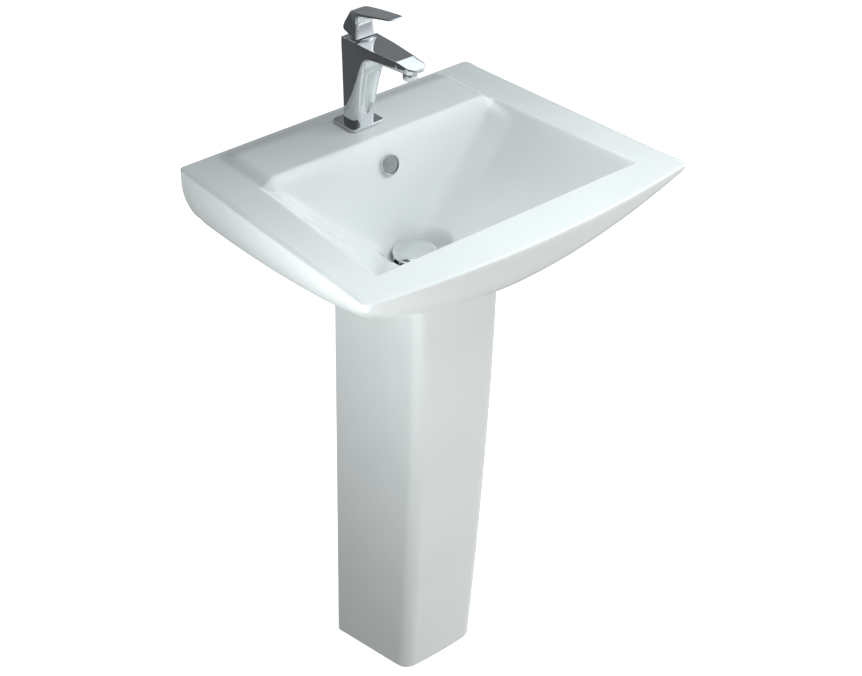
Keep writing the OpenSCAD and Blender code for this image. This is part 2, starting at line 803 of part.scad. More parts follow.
module horseshoe(z, h) {
  translate([0, 0, z]) difference() {
    translate([0, out(tap_out), 0]) cylinder(r = 24, h = h);
    translate([-15, out(72.5), -1]) cube([30, 40, h + 2]);
    translate([0, out(stud_out), -1]) cylinder(r = 4.1, h = h + 2);
  }
}

module fixing_seal() {
  color(soft) horseshoe(deck_z - deck_t - 3, 3);
}

module fixing_washer() {
  color(metal) horseshoe(deck_z - deck_t - 5.5, 2.5);
}

module fixing_nut() {
  color(bronze) translate([0, out(stud_out), deck_z - deck_t - 12.5]) difference() {
    cylinder(r = 7.5, h = 7, $fn = 6);
    translate([0, 0, -1]) cylinder(r = 4.05, h = 10);
  }
}

module tail(side) {
  color(copper) translate([side * tail_half, out(tap_out), 0]) {
    tube(tail_r, 3.9, tail_low + tail_end_h, body_z + 19);
    tube(tail_end_r, 3.9, tail_low, tail_low + tail_end_h);
  }
}

module hot_tail() {
  tail(-1);
}

module cold_tail() {
  tail(1);
}

basin();
pedestal();
pedestal_seal();
overflow_ring();
overflow_disc();
waste_gasket();
waste_body();
waste_seal();
waste_backnut();
click_housing();
plug_cap();
plug_seal();
plug_stem();
click_spring();
trap_inlet_nut();
trap_washer();
trap_inlet_tube();
trap_top_nut();
trap_body();
trap_cup();
trap_outlet_nut();
trap_elbow();
outlet_tube();
tap_gasket();
tap_plate();
tap_body();
aerator_housing();
aerator_insert();
cartridge();
cartridge_nut();
tap_collar();
stem_carrier();
stem_pin();
lever_stem();
lever();
grub_screw();
index_cap();
fixing_stud();
fixing_seal();
fixing_washer();
fixing_nut();
hot_tail();
cold_tail();
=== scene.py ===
"""Pedestal sink: smooth shells, materials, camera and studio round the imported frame.

Shapes are worked out in millimetres. x runs across the basin, "out" is a distance
from the wall towards the front, and z is a height above the floor.
"""

import json
import math

import bmesh
import bpy
import numpy as np
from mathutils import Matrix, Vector


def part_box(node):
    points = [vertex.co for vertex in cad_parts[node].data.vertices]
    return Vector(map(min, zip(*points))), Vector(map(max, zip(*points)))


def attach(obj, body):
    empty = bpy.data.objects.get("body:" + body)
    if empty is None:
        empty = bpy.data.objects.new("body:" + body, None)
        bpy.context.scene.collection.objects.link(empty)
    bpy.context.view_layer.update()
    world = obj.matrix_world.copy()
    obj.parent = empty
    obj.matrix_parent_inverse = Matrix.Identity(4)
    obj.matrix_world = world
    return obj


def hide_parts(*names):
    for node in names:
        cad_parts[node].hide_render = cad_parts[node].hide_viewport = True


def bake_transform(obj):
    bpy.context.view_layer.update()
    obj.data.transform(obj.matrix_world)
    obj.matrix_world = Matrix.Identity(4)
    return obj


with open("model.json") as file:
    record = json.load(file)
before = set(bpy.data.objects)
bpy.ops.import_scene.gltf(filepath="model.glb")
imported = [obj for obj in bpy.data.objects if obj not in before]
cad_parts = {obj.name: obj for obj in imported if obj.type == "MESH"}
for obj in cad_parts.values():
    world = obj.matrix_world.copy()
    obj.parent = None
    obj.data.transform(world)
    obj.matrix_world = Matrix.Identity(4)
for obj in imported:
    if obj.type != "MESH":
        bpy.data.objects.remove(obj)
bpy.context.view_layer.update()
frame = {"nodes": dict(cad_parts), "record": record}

MM = 0.001


# ---------------------------------------------------------------- the frame's sizes, in mm


def box_mm(node):
    """Lowest and highest corner of a CAD node, as arrays in millimetres."""
    low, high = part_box(node)
    return np.array(low) / MM, np.array(high) / MM


basin_low, basin_high = box_mm("basin")
WALL = basin_high[1]
BASIN_W = basin_high[0] - basin_low[0]
DEPTH = basin_high[1] - basin_low[1]
DECK_RISE = 10.0
RIM = basin_high[2] - DECK_RISE


def out_of(node):
    """How far out from the wall a node's middle is."""
    low, high = box_mm(node)
    return WALL - (low[1] + high[1]) / 2


def radius_of(node):
    """Half of a node's width."""
    low, high = box_mm(node)
    return (high[0] - low[0]) / 2


DRAIN_OUT = out_of("plug_cap")
COLUMN_TOP = RIM - 165
PLATE_LOW, PLATE_HIGH = box_mm("tap_plate")
BODY_Z = PLATE_HIGH[2]
TAP_TOP = box_mm("tap_body")[1][2]
TIP_OUT = WALL - box_mm("tap_body")[0][1]
LEVER_TIP = WALL - box_mm("lever")[0][1]
AERATOR_OUT = out_of("aerator_housing")
TAP_HOLE_OUT = out_of("hot_tail")


# ---------------------------------------------------------------- mesh helpers


def place(x, out, z):
    """Points in metres in the frame, from x, distance out and height in millimetres."""
    x, out, z = np.broadcast_arrays(x, out, z)
    return np.stack([x * MM, (WALL - out) * MM, z * MM], axis=-1)


def ramp(t):
    """Smooth step from 0 to 1."""
    c = np.clip(t, 0, 1)
    return c * c * (3 - 2 * c)


def lattice_faces(rings, count, closed=True):
    """Quads over a stack of rings, each with the same count of points."""
    last = count if closed else count - 1
    j, i = np.meshgrid(np.arange(rings - 1), np.arange(last), indexing="ij")
    k = (i + 1) % count
    quads = np.stack([j * count + i, j * count + k, (j + 1) * count + k, (j + 1) * count + i], axis=-1)
    return quads.reshape(-1, 4).tolist()


def capped(rings):
    """Points and faces of a closed skin over rings of points, with both ends filled."""
    rings = np.asarray(rings)
    n_rings, count = rings.shape[:2]
    points = rings.reshape(-1, 3)
    faces = lattice_faces(n_rings, count)
    faces.append(list(range(count - 1, -1, -1)))
    faces.append(list(range((n_rings - 1) * count, n_rings * count)))
    return points, faces


def make_mesh(name, points, faces):
    """A new object from points in metres and faces."""
    mesh = bpy.data.meshes.new(name)
    mesh.from_pydata([tuple(p) for p in np.asarray(points, float)], [], faces)
    mesh.validate()
    mesh.update()
    obj = bpy.data.objects.new(name, mesh)
    bpy.context.scene.collection.objects.link(obj)
    return obj


def outward(obj):
    """Turns the faces of a closed mesh so that they look outwards."""
    bm = bmesh.new()
    bm.from_mesh(obj.data)
    bmesh.ops.recalc_face_normals(bm, faces=bm.faces)
    bm.to_mesh(obj.data)
    bm.free()
    return obj


def baked(obj):
    """Replaces a mesh with its shape after its modifiers."""
    graph = bpy.context.evaluated_depsgraph_get()
    mesh = bpy.data.meshes.new_from_object(obj.evaluated_get(graph))
    obj.modifiers.clear()
    obj.data = mesh
    return obj


def combine(obj, tool, operation):
    """Cuts a closed tool out of a closed mesh, or joins it on, and removes the tool."""
    outward(tool)
    modifier = obj.modifiers.new("combine", "BOOLEAN")
    modifier.operation = operation
    modifier.solver = "MANIFOLD"
    modifier.object = tool
    bpy.context.view_layer.update()
    baked(obj)
    bpy.data.objects.remove(tool)
    return obj


def soften(obj, sharp_degrees=38):
    """Smooth shading that breaks at sharp edges."""
    obj.data.shade_smooth()
    obj.data.set_sharp_from_angle(angle=math.radians(sharp_degrees))
    return obj


def show(obj, body, nodes, material, sharp_degrees=38):
    """Finishes a piece: its shading, material, body and the CAD nodes that it stands for."""
    soften(obj, sharp_degrees)
    obj.data.materials.clear()
    obj.data.materials.append(material)
    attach(obj, body)
    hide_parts(*nodes)
    return obj


def rounded(profile, radius, steps=5):
    """A polyline with its inner corners turned into arcs."""
    pts = [np.array(p, float) for p in profile]
    made = [pts[0]]
    for before, corner, after in zip(pts, pts[1:], pts[2:]):
        back = before - corner
        on = after - corner
        reach = min(radius, np.linalg.norm(back) * 0.45, np.linalg.norm(on) * 0.45)
        start = corner + back / np.linalg.norm(back) * reach
        end = corner + on / np.linalg.norm(on) * reach
        for u in np.linspace(0, 1, steps + 1):
            made.append((1 - u) ** 2 * start + 2 * u * (1 - u) * corner + u * u * end)
    made.append(pts[-1])
    return np.array(made)


def lathe(name, profile, out, z=0.0, segments=96, lobes=0, lobe_depth=0.0, lobe_from=1e9, tilt=0.0):
    """A ring turned round an upright axis, or one tilted back from level, from [radius, height] pairs.

    Lobes are a grip cut in wherever the radius is more than lobe_from.
    """
    profile = np.asarray(profile, float)
    angle = np.linspace(0, 2 * math.pi, segments, endpoint=False)
    radius = np.repeat(profile[:, :1], segments, axis=1)
    grip = np.where(radius > lobe_from, lobe_depth * (0.5 - 0.5 * np.cos(lobes * angle)), 0)
    radius = np.maximum(radius - grip, 0.02)
    height = np.repeat(profile[:, 1:], segments, axis=1)
    x = radius * np.cos(angle)
    across = radius * np.sin(angle)
    if tilt:
        lean = math.radians(90 - tilt)
        toward = -across * math.cos(lean) + height * math.sin(lean)
        up = across * math.sin(lean) + height * math.cos(lean)
        points = place(x, out + toward, z + up)
    else:
        points = place(x, out - across, z + height)
    closed = np.allclose(profile[0], profile[-1])
    if closed:
        rings = points[:-1]
        made = make_mesh(name, rings.reshape(-1, 3), wrapped_faces(len(rings), segments))
    else:
        made = make_mesh(name, *capped(points))
    return outward(made)


def wrapped_faces(rings, count):
    """Quads of a lattice that is closed both ways, as a tube's wall is."""
    j, i = np.meshgrid(np.arange(rings), np.arange(count), indexing="ij")
    k = (i + 1) % count
    m = (j + 1) % rings
    quads = np.stack([j * count + i, j * count + k, m * count + k, m * count + i], axis=-1)
    return quads.reshape(-1, 4).tolist()


def pillar(name, x, out, z0, z1, radius, segments=64):
    """A plain round tool for cutting holes."""
    angle = np.linspace(0, 2 * math.pi, segments, endpoint=False)
    rings = [place(x + radius * np.cos(angle), out - radius * np.sin(angle), z) for z in (z0, z1)]
    return make_mesh(name, *capped(rings))


def leaning_pillar(name, x, out, z, radius, start, length, elevation, segments=64):
    """A round tool whose axis looks out from the wall and up by elevation degrees."""
    angle = np.linspace(0, 2 * math.pi, segments, endpoint=False)
    rise = math.radians(elevation)
    rings = []
    for along in (start, start + length):
        toward = along * math.cos(rise) - radius * np.sin(angle) * math.sin(rise)
        up = along * math.sin(rise) + radius * np.sin(angle) * math.cos(rise)
        rings.append(place(x + radius * np.cos(angle), out + toward, z + up))
    return make_mesh(name, *capped(rings))


def slab(name, half, profile):
    """A side profile of [out, z] pairs, extruded along x."""
    profile = np.asarray(profile, float)
    rings = [place(x, profile[:, 0], profile[:, 1]) for x in (-half, half)]
    return make_mesh(name, *capped(rings))


def block(name, x0, x1, out0, out1, z0, z1):
    """A box between two corners."""
    profile = [[out0, z0], [out1, z0], [out1, z1], [out0, z1]]
    obj = slab(name, (x1 - x0) / 2, profile)
    for vertex in obj.data.vertices:
        vertex.co.x += (x0 + x1) / 2 * MM
    return obj


# ---------------------------------------------------------------- material helpers


class Finish:
    """A new material and short ways to wire its nodes."""

    def __init__(self, name):
        self.material = bpy.data.materials.new(name)
        self.material.use_nodes = True
        self.nodes = self.material.node_tree.nodes
        self.links = self.material.node_tree.links
        self.shader = self.nodes["Principled BSDF"]
        self.coords = self.nodes.new("ShaderNodeTexCoord").outputs["Object"]

    def set(self, **values):
        """Sets inputs of the shader."""
        for name, value in values.items():
            self.shader.inputs[name.replace("_", " ")].default_value = value

    def noise(self, per_metre, detail=3.0, stretch=(1, 1, 1)):
        """A noise texture fixed to the object."""
        mapping = self.nodes.new("ShaderNodeMapping")
        mapping.inputs["Scale"].default_value = stretch
        self.links.new(self.coords, mapping.inputs["Vector"])
        texture = self.nodes.new("ShaderNodeTexNoise")
        texture.inputs["Scale"].default_value = per_metre
        texture.inputs["Detail"].default_value = detail
        self.links.new(mapping.outputs["Vector"], texture.inputs["Vector"])
        return texture.outputs["Fac"]

    def spread(self, value, low, high, from_low=0.35, from_high=0.65):
        """Maps a value's usual range to low and high."""
        node = self.nodes.new("ShaderNodeMapRange")
        node.inputs["From Min"].default_value = from_low
        node.inputs["From Max"].default_value = from_high
        node.inputs["To Min"].default_value = low
        node.inputs["To Max"].default_value = high
        self.links.new(value, node.inputs["Value"])
        return node.outputs["Result"]

    def mix(self, factor, first, second):
        """A colour between two, each given as numbers or as an output."""
        node = self.nodes.new("ShaderNodeMix")
        node.data_type = "RGBA"
        self.links.new(factor, node.inputs["Factor"])
        for socket, colour in ((node.inputs["A"], first), (node.inputs["B"], second)):
            if hasattr(colour, "links"):
                self.links.new(colour, socket)
            else:
                socket.default_value = (*colour, 1)
        return node.outputs["Result"]

    def colour(self, output):
        self.links.new(output, self.shader.inputs["Base Color"])

    def roughness(self, output):
        self.links.new(output, self.shader.inputs["Roughness"])

    def bump(self, *layers):
        """Layers are (height output, strength, distance in mm), from coarse to fine."""
        normal = None
        for height, strength, distance in layers:
            node = self.nodes.new("ShaderNodeBump")
            node.inputs["Strength"].default_value = strength
            node.inputs["Distance"].default_value = distance * MM
            self.links.new(height, node.inputs["Height"])
            if normal:
                self.links.new(normal, node.inputs["Normal"])
            normal = node.outputs["Normal"]
        self.links.new(normal, self.shader.inputs["Normal"])


def glazed_china():
    """White glaze with faint specks."""
    f = Finish("glazed_china")
    cloud = f.noise(7)
    specks = f.noise(900, 1)
    white = f.mix(f.spread(cloud, 0, 1), (0.80, 0.815, 0.81), (0.83, 0.84, 0.835))
    f.colour(f.mix(f.spread(specks, 0, 0.5, 0.76, 0.8), white, (0.55, 0.53, 0.48)))
    f.roughness(f.spread(f.noise(8, 1), 0.165, 0.18))
    f.bump((f.noise(9, 1), 0.012, 0.5), (f.noise(1500, 1), 0.006, 0.01))
    f.set(IOR=1.5, Coat_Weight=0.3, Coat_Roughness=0.10)
    return f.material


def chrome():
    """Polished plate with a faint smear."""
    f = Finish("chrome")
    smear = f.noise(60, 4)
    scratches = f.noise(500, 2, (0.05, 1, 1))
    f.colour(f.mix(f.spread(smear, 0, 1), (0.80, 0.82, 0.84), (0.86, 0.87, 0.88)))
    f.roughness(f.spread(smear, 0.035, 0.075))
    f.bump((scratches, 0.02, 0.02))
    f.set(Metallic=1.0)
    return f.material


def brushed_steel():
    """Satin steel with a fine grain."""
    f = Finish("brushed_steel")
    grain = f.noise(3200, 2, (1, 1, 0.04))
    f.colour(f.mix(f.spread(grain, 0, 1), (0.50, 0.50, 0.51), (0.56, 0.56, 0.56)))
    f.roughness(f.spread(grain, 0.25, 0.33))
    f.bump((grain, 0.04, 0.03))
    f.set(Metallic=1.0)
    return f.material


def brass():
    """Turned brass, a little dull."""
    f = Finish("brass")
    tarnish = f.noise(90, 4)
    turning = f.noise(900, 1, (0.05, 0.05, 1))
    f.colour(f.mix(f.spread(tarnish, 0, 1), (0.62, 0.43, 0.19), (0.80, 0.62, 0.32)))
    f.roughness(f.spread(tarnish, 0.24, 0.42))
    f.bump((turning, 0.2, 0.04))
    f.set(Metallic=1.0)
    return f.material


def copper():
    """Copper pipe with tarnish."""
    f = Finish("copper")
    tarnish = f.noise(45, 5)
    f.colour(f.mix(f.spread(tarnish, 0, 1), (0.52, 0.24, 0.13), (0.83, 0.47, 0.32)))
    f.roughness(f.spread(tarnish, 0.2, 0.4))
    f.bump((f.noise(300, 2), 0.06, 0.05))
    f.set(Metallic=1.0)
    return f.material


def rubber():
    """Matt black rubber."""
    f = Finish("rubber")
    f.colour(f.mix(f.spread(f.noise(120), 0, 1), (0.018, 0.018, 0.019), (0.045, 0.044, 0.042)))
    f.roughness(f.spread(f.noise(200), 0.55, 0.8))
    f.bump((f.noise(1500, 2), 0.3, 0.05))
    return f.material


def polymer():
    """Pale moulded plastic."""
    f = Finish("polymer")
    f.colour(f.mix(f.spread(f.noise(60), 0, 1), (0.50, 0.51, 0.52), (0.62, 0.63, 0.63)))
    f.roughness(f.spread(f.noise(150), 0.3, 0.45))
    f.bump((f.noise(1200, 2), 0.12, 0.03))
    return f.material


def sealant():
    """White silicone."""
    f = Finish("sealant")
    f.colour(f.mix(f.spread(f.noise(50), 0, 1), (0.62, 0.62, 0.60), (0.74, 0.74, 0.72)))
    f.roughness(f.spread(f.noise(120), 0.3, 0.5))
    f.bump((f.noise(220, 3), 0.3, 0.15))
    return f.material


FINISHES = {
    "china": glazed_china(),
    "chrome": chrome(),
    "steel": brushed_steel(),
    "brass": brass(),
    "copper_pipe": copper(),
    "rubber": rubber(),
    "polymer": polymer(),
    "sealant": sealant(),
}


# ---------------------------------------------------------------- basin surface

FRONT_BOW = 23
SIDE_OUT = DEPTH - FRONT_BOW
BACK_W = BASIN_W - 43
CORNER_R = 9.0
BOWL_BACK = 112.0
BOWL_FRONT = 380.0
EDGE_DROP = 1.5
SIDE_DROP = 2.2
SIDE_POWER = 1.25
EASE_NEAR = 3.5
EASE_FAR = 300.0
SEAT_Z = RIM - 154.5
FLOOR_Z = SEAT_Z + 1.5
OVERFLOW_OUT = 130.5
OVERFLOW_Z = RIM - 29
OVERFLOW_TILT = 13.4
RECESS_R = radius_of("plug_cap") + 2.0
WALL_FIXING_X = 140
EDGE_ROWS = (BOWL_BACK + 3, BOWL_BACK + 10, DRAIN_OUT - RECESS_R, DRAIN_OUT + RECESS_R, BOWL_FRONT)


def half_w(out):
    """Half width of the basin."""
    return (BACK_W + (BASIN_W - BACK_W) * np.minimum(out, SIDE_OUT) / SIDE_OUT) / 2


def bowl_half(out):
    """Half width of the bowl at the rim."""
    return 204 + 21 * (out - 121) / (BOWL_FRONT - 121)


def round_off(t, r):
    """Setback of a rounded corner that starts at t = 0."""
    return np.where(t <= 0, 0, r - np.sqrt(np.maximum(r * r - t * t, 0)))


def front_line(x):
    """Where the bowed front edge is."""
    bow = FRONT_BOW * (x / (BASIN_W / 2)) ** 2
    return DEPTH - bow - round_off(np.abs(x) - BASIN_W / 2 + CORNER_R, CORNER_R)


def back_line(x):
    """Where the edge at the wall is."""
    return round_off(np.abs(x) - BACK_W / 2 + CORNER_R, CORNER_R)


def edge_fall(t, r, a, s):
    """Fall at t from an edge: a roll of radius r and height a, on a slope s."""
    return a * np.sqrt(np.maximum(1 - (1 - np.minimum(t / r, 1)) ** 2, 0)) + s * t


def belly(x, out):
    """Depth of the underside below the rim's edge."""
    f = np.maximum(front_line(x) - out, 0.001)
    s = np.maximum(half_w(out) - np.abs(x), 0.001)
    ff = edge_fall(f, 62, 47 * (1 - 0.63 * (x / (BASIN_W / 2)) ** 2), 0.836)
    fs = edge_fall(s, 28, 60 * (1 - 0.69 * (out / SIDE_OUT) ** 2), 0.92)
    raw = (ff**-3 + fs**-3) ** (-1 / 3)
    return np.where(raw < 90, raw, 90 + 115 * (1 - np.exp(np.minimum((90 - raw) / 115, 0))))


def side_share(x, out):
    """1 along the sides, where the rim's edge is rolled wider, and 0 along the front and back."""
    return ramp((np.abs(x) - 150) / 50) * ramp((SIDE_OUT - out) / 50) * ramp(out / 30)


def low_z(x, out):
    """Height of the underside."""
    return RIM - EDGE_DROP - SIDE_DROP * side_share(x, out) - belly(x, out)


def eased(depth):
    """A depth of the bowl with the crease at the bowl's edge turned into a soft roll."""
    share = 1 / (1 / EASE_NEAR - 1 / EASE_FAR)
    return depth - share * (np.exp(-depth / EASE_FAR) - np.exp(-depth / EASE_NEAR))


def bowl(x, out):
    """Depth of the bowl below the rim, from a side, a back and a front wall."""
    inside = (np.abs(x) < bowl_half(out) - 0.001) & (out > BOWL_BACK) & (out < BOWL_FRONT)
    side = 160 * (1 - np.minimum(np.abs(x) / bowl_half(out), 1) ** SIDE_POWER)
    back = 13.9 * (np.sqrt((out - BOWL_BACK) ** 2 + 60**2) - 60)
    front = 300 * (1 - np.exp(np.minimum((out - BOWL_FRONT) / 120, 0)))
    side, back, front = (np.maximum(v, 1e-4) for v in (side, back, front))
    depth = (side**-4 + back**-4 + front**-4) ** -0.25
    return np.where(inside, eased(depth), 0)


def deck(x, out):
    """Rise of the tap platform above the rim."""
    rise = DECK_RISE * ramp((201 - np.abs(x)) / 20) * ramp((out + 2) / 44) * ramp((178 - out) / 45)
    return np.where(out > BOWL_FRONT, 0, rise)


def settle(z):
    """Runs the bowl's lowest part out flat at its floor."""
    h = np.maximum(z - FLOOR_Z, 0)
    drop = np.where(h < 10, h - h * h / 20, 5)
    return FLOOR_Z + h - drop * np.maximum(1 - h / (RIM - FLOOR_Z), 0)


def from_drain(x, out):
    """Distance from the waste's axis."""
    return np.hypot(x, out - DRAIN_OUT)


def raw_top(x, out):
    """Height of the top before its creases are eased."""
    squeezed = (out - DRAIN_OUT) * np.where(out < DRAIN_OUT, 1.35, 1)
    level = ramp((56 - np.hypot(x, squeezed)) / 19)
    return level * FLOOR_Z + (1 - level) * settle(RIM + deck(x, out) - bowl(x, out))


def edge_distance(x, out):
    """Distance from points on the top to the basin's outline."""
    xs = np.concatenate([np.linspace(0, 255, 35), np.linspace(255, BASIN_W / 2, 60)[1:]])
    flat = BACK_W / 2 - CORNER_R
    back_xs = np.concatenate([np.linspace(0, flat, 4), np.linspace(flat, BACK_W / 2, 30)[1:]])
    sides = np.array([CORNER_R, SIDE_OUT - CORNER_R])
    lines = [(xs, front_line(xs)), (back_xs, back_line(back_xs)), (half_w(sides), sides)]
    near = np.full(x.shape, 1e9)
    for line_x, line_out in lines:
        for x0, x1, out0, out1 in zip(line_x, line_x[1:], line_out, line_out[1:]):
            along = np.array([x1 - x0, out1 - out0])
            dx = np.abs(x) - x0
            do = out - out0
            t = np.clip((dx * along[0] + do * along[1]) / (along @ along), 0, 1)
            near = np.minimum(near, (dx - t * along[0]) ** 2 + (do - t * along[1]) ** 2)
    return np.sqrt(near)


def top_z(x, out):
    """The top with its creases eased, its rim's edge rolled over and the seat of the waste sunk in."""
    total = 2.0 * raw_top(x, out)
    weight = 2.0
    for reach, share in ((1.5, 1.0), (3.0, 0.7)):
        for k in range(8):
            a = math.pi * k / 4
            total = total + share * raw_top(x + reach * math.cos(a), out + reach * math.sin(a))
            weight += share
    z = total / weight
    wide = side_share(x, out)
    edge = np.clip(edge_distance(x, out) / (3.6 + 8 * wide), 0, 1)
    z = z - (EDGE_DROP + SIDE_DROP * wide) * (1 - np.sqrt(1 - (1 - edge) ** 2))
    sunk = ramp((RECESS_R + 0.8 - from_drain(x, out)) / 1.6)
    return z * (1 - sunk) + SEAT_Z * sunk


def clustered(low, high, step, places, fine, reach):
    """Values from low to high, a step apart, and a fine step apart within reach of some places."""
    values = [low]
    while values[-1] < high:
        near = min(abs(values[-1] - p) for p in places) < reach
        values.append(values[-1] + (fine if near else step))
    values = np.array(values)
    return low + (values - low) * (high - low) / (values[-1] - low)


def basin_columns():
    """Columns of the basin's grid: -1 to 1 crosses the bowl, and 1 to 2 the rim."""
    bowl_part = clustered(0, 1, 0.014, (0.16,), 0.006, 0.03)
    bowl_part = np.concatenate([bowl_part[bowl_part < 0.955], np.linspace(0.96, 1.0, 13)])
    rim_part = 1 + np.concatenate([[0.02, 0.04, 0.06, 0.09], np.linspace(0.14, 0.86, 12)])
    rim_edge = 2 - 0.12 * (1 - np.linspace(0, 1, 12)) ** 1.6
    half = np.concatenate([bowl_part, rim_part, rim_edge])
    return np.concatenate([-half[:0:-1], half])


def basin_grid():
    """x and out of every point of the basin's grid, with rows from the wall to the front."""
    c = basin_columns()[None, :]
    inner = np.minimum(np.abs(c), 1)
    outer = np.maximum(np.abs(c) - 1, 0)

    def across(out):
        wide = bowl_half(out)
        return np.sign(c) * (inner * wide + outer * (half_w(out) - wide))

    x_back = across(np.zeros((1, 1)))
    t = (np.linspace(0, 1, 12) ** 1.5)[:, None]
    back_out = back_line(x_back) + t * (16 - back_line(x_back))
    mid = clustered(16, BOWL_FRONT, 3.2, EDGE_ROWS, 0.9, 6)
    mid_out = mid[1:, None] + 0 * c
    u = np.concatenate([[0.012, 0.025, 0.04, 0.06], np.linspace(0.09, 0.8, 16)])
    u = np.concatenate([u, 1 - 0.17 * (1 - np.linspace(0, 1, 14)) ** 1.6])[:, None]
    x_front = across(BOWL_FRONT + u * (SIDE_OUT - BOWL_FRONT))
    front_out = BOWL_FRONT + u * (front_line(x_front) - BOWL_FRONT)
    x = np.concatenate([np.repeat(x_back, len(t), 0), across(mid_out), x_front])
    out = np.concatenate([back_out, mid_out, front_out])
    return x, out


def basin_shell():
    """Closed skin of the basin: top and underside meet at the side and front edges."""
    x, out = basin_grid()
    rows, cols = x.shape
    high = place(x, out, top_z(x, out)).reshape(-1, 3)
    low = place(x, out, low_z(x, out)).reshape(-1, 3)
    index = np.arange(rows * cols).reshape(rows, cols)
    under = index + rows * cols
    under[:, 0] = index[:, 0]
    under[:, -1] = index[:, -1]
    under[-1, :] = index[-1, :]

    def quads(grid, flip):
        a, b, c, d = grid[:-1, :-1], grid[:-1, 1:], grid[1:, 1:], grid[1:, :-1]
        order = (a, b, c, d) if flip else (a, d, c, b)
        return np.stack(order, axis=-1).reshape(-1, 4).tolist()

    wall = [[index[0, i], index[0, i + 1], under[0, i + 1], under[0, i]] for i in range(cols - 1)]
    faces = quads(index, True) + quads(under, False) + wall
    tidy = []
    for face in faces:
        ring = [int(v) for n, v in enumerate(face) if v != face[n - 1]]
        if len(ring) > 2:
            tidy.append(ring)
    points = np.concatenate([high, low])
    used = sorted({v for face in tidy for v in face})
    number = {v: n for n, v in enumerate(used)}
    return make_mesh("basin_shell", points[used], [[number[v] for v in face] for face in tidy])


def basin():
    """The basin: its shell with the boss under the waste, the recess at the wall and all its holes."""
    obj = outward(basin_shell())
    boss = pillar("boss", 0, DRAIN_OUT, RIM - 186, SEAT_Z - 0.6, 36)
    combine(obj, boss, "UNION")
    back = 14.0
    recess = [
        [back, RIM - 226], [back, RIM - 14], [30, RIM - 7], [96, RIM - 7], [103, RIM - 20],
        [107, RIM - 53], [113, RIM - 98], [118, RIM - 143], [121, RIM - 163], [121, RIM - 226],
    ]
    cuts = [
        slab("recess", 65, recess),
        block("pipe_arch", -65, 65, -1, back + 1, RIM - 226, RIM - 83),
        pillar("drain", 0, DRAIN_OUT, RIM - 190, RIM - 140, 23),
        pillar("tap_hole", 0, TAP_HOLE_OUT, RIM - 20, RIM + 30, 17.5),
        leaning_pillar("overflow", 0, OVERFLOW_OUT, OVERFLOW_Z, 12, -18, 40, OVERFLOW_TILT),
        leaning_pillar("wall_fixing_left", -WALL_FIXING_X, -1, RIM - 58, 7, -1, back + 3, 0),
        leaning_pillar("wall_fixing_right", WALL_FIXING_X, -1, RIM - 58, 7, -1, back + 3, 0),
    ]
    for cut in cuts:
        combine(obj, cut, "DIFFERENCE")
    show(obj, "sink", ["basin"], FINISHES["china"])


# ---------------------------------------------------------------- column


COLUMN_WALL = 12
BEAD = 2.0
FOOT_ROUND = 1.8


def front_half(t):
    """Half width of the column's front face, at a share t of its height."""
    return 66 + 8 * t


def back_half(t):
    """Half width of the column at its back edge."""
    return 87.5 - 7.5 * t


def front_out(t):
    """How far out the column's front is."""
    return 239 + 44 * (1 - (1 - np.minimum(t, 1)) ** 1.5)


def back_out(t):
    """How far out the column's back edge is."""
    return 98.5 + 9.5 * t


def half_outline(t, inset, r):
    """Half of the column's outline at height t, from the middle of its front to its back edge."""
    cx = front_half(t) - inset
    cd = front_out(t) - inset
    bx = back_half(t) - inset
    bd = back_out(t)
    side = math.hypot(bx - cx, cd - bd)
    sx = (bx - cx) / side
    sd = (bd - cd) / side
    face = np.linspace(0, 1, 14)[:-1]
    start = cx - r
    front = np.stack([face * start, cd + 2 - 1.6 * face**2], -1)
    u = np.linspace(0, 1, 17)[:, None]
    p = np.array([start, cd + 0.4])
    q = np.array([cx + sx * r, cd + sd * r])
    corner = (1 - u) ** 2 * p + 2 * u * (1 - u) * np.array([cx, cd]) + u * u * q
    along = (r + np.linspace(0, 1, 15)[1:] * (side - r))[:, None]
    back = np.array([cx, cd]) + along * np.array([sx, sd])
    return np.concatenate([front, corner, back])


def outline(t, inset, r):
    """The column's whole outline, from one back edge round to the other."""
    h = half_outline(t, inset, r)
    mirrored = h[:0:-1] * np.array([-1, 1])
    return np.concatenate([mirrored, h])


def column_skin(inset, r, top_gap, levels, foot_round):
    """Rows of one skin of the column, from under the basin down to the floor."""
    o = outline(1, inset, r)
    rows = [np.stack([o[:, 0], o[:, 1], low_z(o[:, 0], o[:, 1]) - top_gap], -1)]
    for t in levels:
        o = outline(t, inset, r)
        rows.append(np.stack([o[:, 0], o[:, 1], np.full(len(o), t * COLUMN_TOP)], -1))
    for a in np.linspace(0, math.pi / 2, 6)[1:]:
        o = outline(0, inset + foot_round * (1 - math.cos(a)), r)
        z = abs(foot_round) * (1 - math.sin(a))
        rows.append(np.stack([o[:, 0], o[:, 1], np.full(len(o), z)], -1))
    return np.array(rows)


def double_skin(name, outer, inner):
    """Closed wall between two grids of points that have the same rows and columns."""
    rows, cols = outer.shape[:2]
    n = rows * cols
    points = np.concatenate([outer.reshape(-1, 3), inner.reshape(-1, 3)])
    points = place(points[:, 0], points[:, 1], points[:, 2])
    a = lattice_faces(rows, cols, closed=False)
    b = [[v + n for v in face[::-1]] for face in a]
    ends = []
    for i in range(cols - 1):
        last = (rows - 1) * cols + i
        ends += [[i + 1, i, i + n, i + 1 + n], [last, last + 1, last + 1 + n, last + n]]
    for j in range(rows - 1):
        left = j * cols
        right = left + cols - 1
        ends += [[left, left + cols, left + cols + n, left + n]]
        ends += [[right + cols, right, right + n, right + cols + n]]
    return outward(make_mesh(name, points, a + b + ends))


